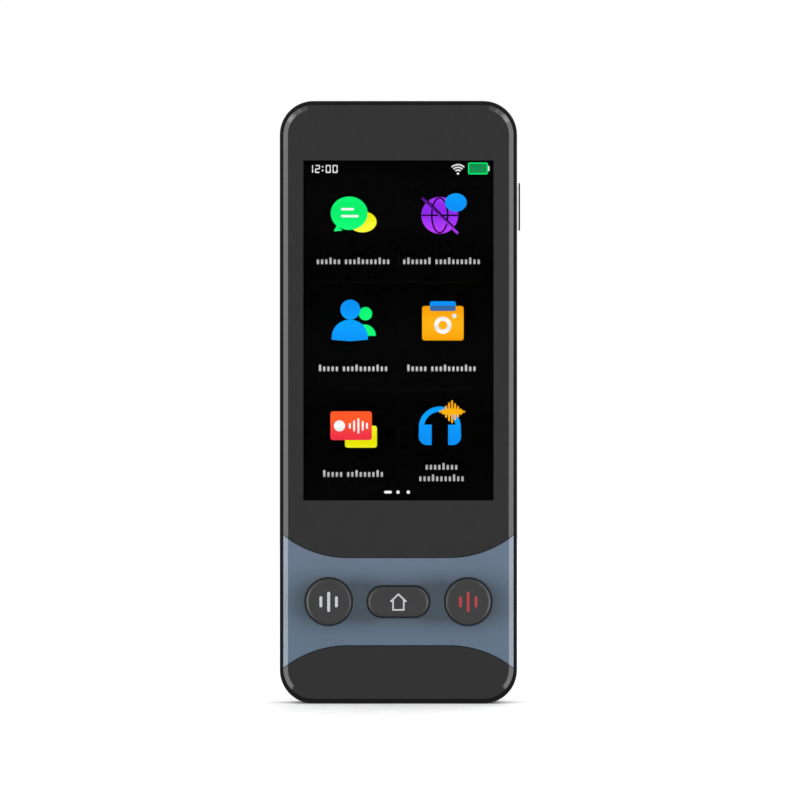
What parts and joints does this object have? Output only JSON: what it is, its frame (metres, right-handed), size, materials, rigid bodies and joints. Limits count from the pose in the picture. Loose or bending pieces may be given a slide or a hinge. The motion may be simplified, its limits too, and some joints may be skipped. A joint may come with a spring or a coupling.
{
  "type": "handheld translator",
  "caption": "Slim bar-shaped handheld translator with a touch screen, a band of round and pill-shaped push buttons, a side power button and a rear camera.",
  "frame": {"origin": "middle of the bottom end, on the middle plane of the body's width and thickness", "axes": "+Z from the bottom end to the top end, +Y from the screen to the back, +X to the right seen from the screen side"},
  "size_m": [0.0629, 0.0143, 0.1575],
  "materials": {
    "black_print_glass": "clear glass with black print behind its border",
    "slate_plastic": "grey-blue satin paint",
    "black_gloss_plastic": "black gloss",
    "frame_plastic": "fine black satin",
    "cover_plastic": "soft black matt",
    "button_plastic": "charcoal satin",
    "white_inlay": "white inlay",
    "red_inlay": "red inlay",
    "dark_aluminium": "dark anodised",
    "window_glass": "coated glass",
    "flash_plastic": "milky clear",
    "foam_tape": "black double-sided tape",
    "clear_adhesive": "clear",
    "display_glass": "dark polariser",
    "backlight_steel": "folded sheet",
    "board_laminate": "green solder mask",
    "chip_resin": "black moulded resin",
    "sheet_steel": "tinned sheet",
    "flex_film": "amber film",
    "battery_film": "grey film",
    "screw_steel": "plated steel",
    "port_steel": "drawn stainless steel",
    "black_nylon": "black glass-filled nylon",
    "speaker_plastic": "black plastic",
    "speaker_cloth": "fine black mesh",
    "seal_rubber": "black silicone"
  },
  "bodies": {
    "housing": {"cover_glass": "black_print_glass", "button_panel": "slate_plastic", "chin_cover": "black_gloss_plastic", "glass_tape": "foam_tape", "panel_tape": "foam_tape", "chin_tape": "foam_tape", "optical_adhesive": "clear_adhesive", "lcd_cell": "display_glass", "backlight_unit": "backlight_steel", "display_flex": "flex_film", "display_connector": "black_nylon", "mid_frame": "frame_plastic", "rear_cover": "cover_plastic", "power_switch": "black_nylon", "side_key_board": "board_laminate", "key_board": "board_laminate", "key_flex": "flex_film", "main_board": "board_laminate", "processor": "chip_resin", "memory_chip": "chip_resin", "shield_can": "sheet_steel", "board_screws": "screw_steel", "camera_module": "black_nylon", "camera_lens": "window_glass", "camera_ring": "dark_aluminium", "camera_window": "window_glass", "flash_led": "flash_plastic", "flash_lens": "flash_plastic", "battery": "battery_film", "battery_tape": "foam_tape", "battery_lead": "flex_film", "main_flex": "flex_film", "usb_board": "board_laminate", "usb_shell": "port_steel", "usb_tongue": "black_nylon", "top_microphone": "sheet_steel", "bottom_microphone": "sheet_steel", "top_mic_seal": "seal_rubber", "bottom_mic_seal": "seal_rubber", "speaker": "speaker_plastic", "speaker_seal": "seal_rubber", "speaker_mesh": "speaker_cloth", "antenna_flex": "flex_film", "left_talk_switch": "black_nylon", "home_switch": "black_nylon", "right_talk_switch": "black_nylon"},
    "left_talk": {"left_talk_button": "button_plastic", "left_talk_legend": "white_inlay", "left_talk_plunger": "black_nylon"},
    "home": {"home_button": "button_plastic", "home_legend": "white_inlay", "home_plunger": "black_nylon"},
    "right_talk": {"right_talk_button": "button_plastic", "right_talk_legend": "red_inlay", "right_talk_plunger": "black_nylon"},
    "power": {"power_button": "button_plastic", "power_plunger": "black_nylon"}
  },
  "joints": [
    {"name": "left_talk_press", "type": "slide", "parent": "housing", "child": "left_talk", "axis": [0, 1, 0], "range_m": [0, 0.00035], "stiffness_N_per_m": 4000},
    {"name": "home_press", "type": "slide", "parent": "housing", "child": "home", "axis": [0, 1, 0], "range_m": [0, 0.00035], "stiffness_N_per_m": 4000},
    {"name": "right_talk_press", "type": "slide", "parent": "housing", "child": "right_talk", "axis": [0, 1, 0], "range_m": [0, 0.00035], "stiffness_N_per_m": 4000},
    {"name": "power_press", "type": "slide", "parent": "housing", "child": "power", "axis": [-1, 0, 0], "range_m": [0, 0.0003], "stiffness_N_per_m": 4000}
  ]
}
